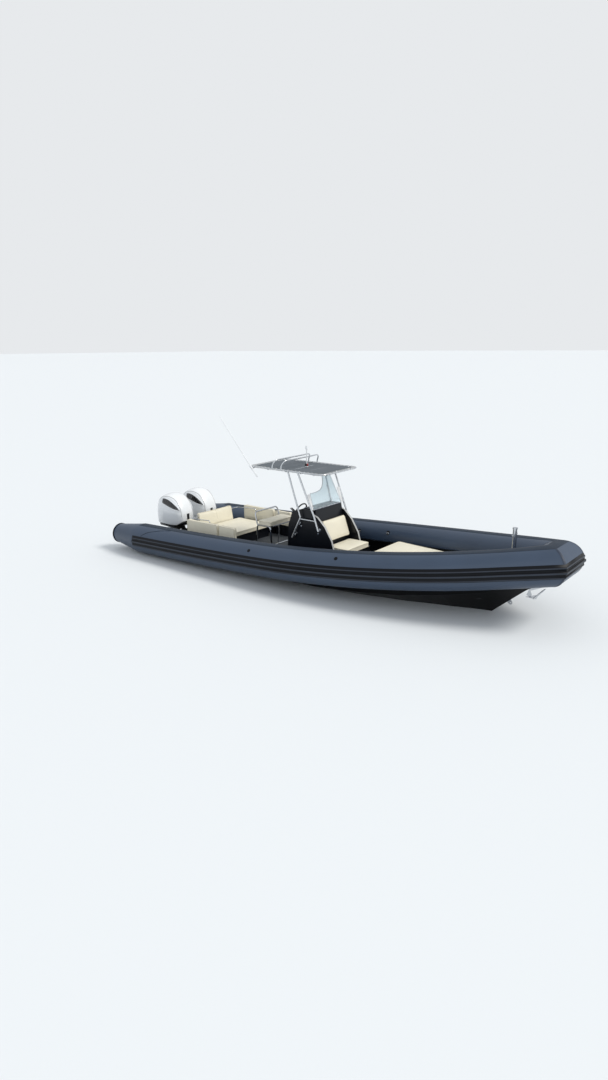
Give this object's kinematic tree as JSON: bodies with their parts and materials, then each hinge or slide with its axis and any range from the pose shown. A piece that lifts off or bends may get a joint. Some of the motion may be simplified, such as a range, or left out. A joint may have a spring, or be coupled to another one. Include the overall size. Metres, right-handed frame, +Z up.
{
  "type": "rigid inflatable boat with twin outboard engines",
  "caption": "Open rigid inflatable boat: black deep-V hull, dark air-tube collar, centre console with T-top, cream seating and twin tilting, steering outboard engines.",
  "frame": {"origin": "on the waterline and the centreline, half way along the collar", "axes": "+X towards the bow, +Y to port, +Z up"},
  "size_m": [10.5371, 3.5724, 4.0144],
  "materials": {
    "hull_gelcoat": "gloss black gelcoat",
    "deck": "dark grey non-slip",
    "tube_fabric": "dark slate coated fabric",
    "black_rubber": "black moulded rubber",
    "wear_fabric": "ribbed dark fabric",
    "black_gelcoat": "satin black gelcoat",
    "screen": "lightly tinted acrylic",
    "black_plastic": "black moulded plastic",
    "cream_vinyl": "cream marine vinyl",
    "frame_tube": "satin stainless tube",
    "canvas": "grey woven canvas",
    "white_plastic": "white glass fibre",
    "stainless": "polished stainless",
    "black_metal": "satin black paint",
    "engine_paint": "silver white paint",
    "engine_white": "gloss white moulding",
    "cast_metal": "cast metal",
    "prop_metal": "satin stainless"
  },
  "bodies": {
    "boat": {"anchor": "stainless", "anchor_roller": "stainless", "backrest": "cream_vinyl", "backrest_rails": "stainless", "bench_box": "black_gelcoat", "bow_locker": "black_gelcoat", "canopy": "canvas", "clamp_bracket_port": "black_metal", "clamp_bracket_starboard": "black_metal", "console": "black_gelcoat", "deck_sole": "deck", "front_seat": "cream_vinyl", "helm_seat_cushion": "cream_vinyl", "helm_seat_frame": "stainless", "hull": "hull_gelcoat", "mast_light": "white_plastic", "rub_strake": "black_rubber", "samson_post": "stainless", "screen_frames": "white_plastic", "side_coamings": "black_gelcoat", "side_pads": "cream_vinyl", "throttle": "black_plastic", "towing_eyes": "stainless", "ttop_hoops": "frame_tube", "ttop_legs_port": "frame_tube", "ttop_legs_starboard": "frame_tube", "ttop_ring": "frame_tube", "tube_bow": "tube_fabric", "tube_end_caps": "black_rubber", "tube_port": "tube_fabric", "tube_starboard": "tube_fabric", "wear_strip": "wear_fabric", "windscreen": "screen"},
    "bench_lid": {"bench_lid": "black_gelcoat", "bench_cushion": "cream_vinyl"},
    "bow_lid": {"bow_locker_lid": "black_gelcoat", "bow_pad": "cream_vinyl"},
    "helm_wheel": {"steering_wheel": "black_plastic"},
    "whip": {"antenna": "white_plastic"},
    "tilt_port": {"swivel_bracket_port": "black_metal"},
    "engine_port": {"leg_port": "engine_paint", "lower_pan_port": "black_metal", "cowl_port": "engine_white", "powerhead_port": "cast_metal"},
    "prop_port": {"propeller_port": "prop_metal"},
    "tilt_starboard": {"swivel_bracket_starboard": "black_metal"},
    "engine_starboard": {"leg_starboard": "engine_paint", "lower_pan_starboard": "black_metal", "cowl_starboard": "engine_white", "powerhead_starboard": "cast_metal"},
    "prop_starboard": {"propeller_starboard": "prop_metal"}
  },
  "joints": [
    {"name": "tilt_port", "type": "hinge", "parent": "boat", "child": "tilt_port", "pos_m": [-4.01, 0.395, 0.44], "axis": [0, 1, 0], "range_deg": [0, 65]},
    {"name": "steer_port", "type": "hinge", "parent": "tilt_port", "child": "engine_port", "pos_m": [-4.15, 0.395, 0.2], "axis": [0, 0, 1], "range_deg": [-30, 30]},
    {"name": "prop_port", "type": "hinge", "parent": "engine_port", "child": "prop_port", "pos_m": [-4.42, 0.395, -0.54], "axis": [1, 0, 0], "continuous": true},
    {"name": "tilt_starboard", "type": "hinge", "parent": "boat", "child": "tilt_starboard", "pos_m": [-4.01, -0.395, 0.44], "axis": [0, 1, 0], "range_deg": [0, 65]},
    {"name": "steer_starboard", "type": "hinge", "parent": "tilt_starboard", "child": "engine_starboard", "pos_m": [-4.15, -0.395, 0.2], "axis": [0, 0, 1], "range_deg": [-30, 30]},
    {"name": "prop_starboard", "type": "hinge", "parent": "engine_starboard", "child": "prop_starboard", "pos_m": [-4.42, -0.395, -0.54], "axis": [1, 0, 0], "continuous": true},
    {"name": "helm_wheel_turn", "type": "hinge", "parent": "boat", "child": "helm_wheel", "pos_m": [-0.499, 0, 1.26281], "axis": [-0.935, 0, 0.3547], "range_deg": [-720, 720]},
    {"name": "antenna_fold", "type": "hinge", "parent": "boat", "child": "whip", "pos_m": [-1.285, -0.702, 2.25], "axis": [0, 1, 0], "range_deg": [-49, 41]},
    {"name": "bench_lid_hinge", "type": "hinge", "parent": "boat", "child": "bench_lid", "pos_m": [-2.072, 0, 0.491], "axis": [0, 1, 0], "range_deg": [0, 75]},
    {"name": "bow_lid_hinge", "type": "hinge", "parent": "boat", "child": "bow_lid", "pos_m": [2.913, 0, 0.676], "axis": [0, 1, 0], "range_deg": [0, 80]}
  ],
  "couplings": [
    {"joint": "steer_port", "follows": "steer_starboard", "ratio": 1},
    {"joint": "helm_wheel_turn", "follows": "steer_starboard", "ratio": 24}
  ]
}
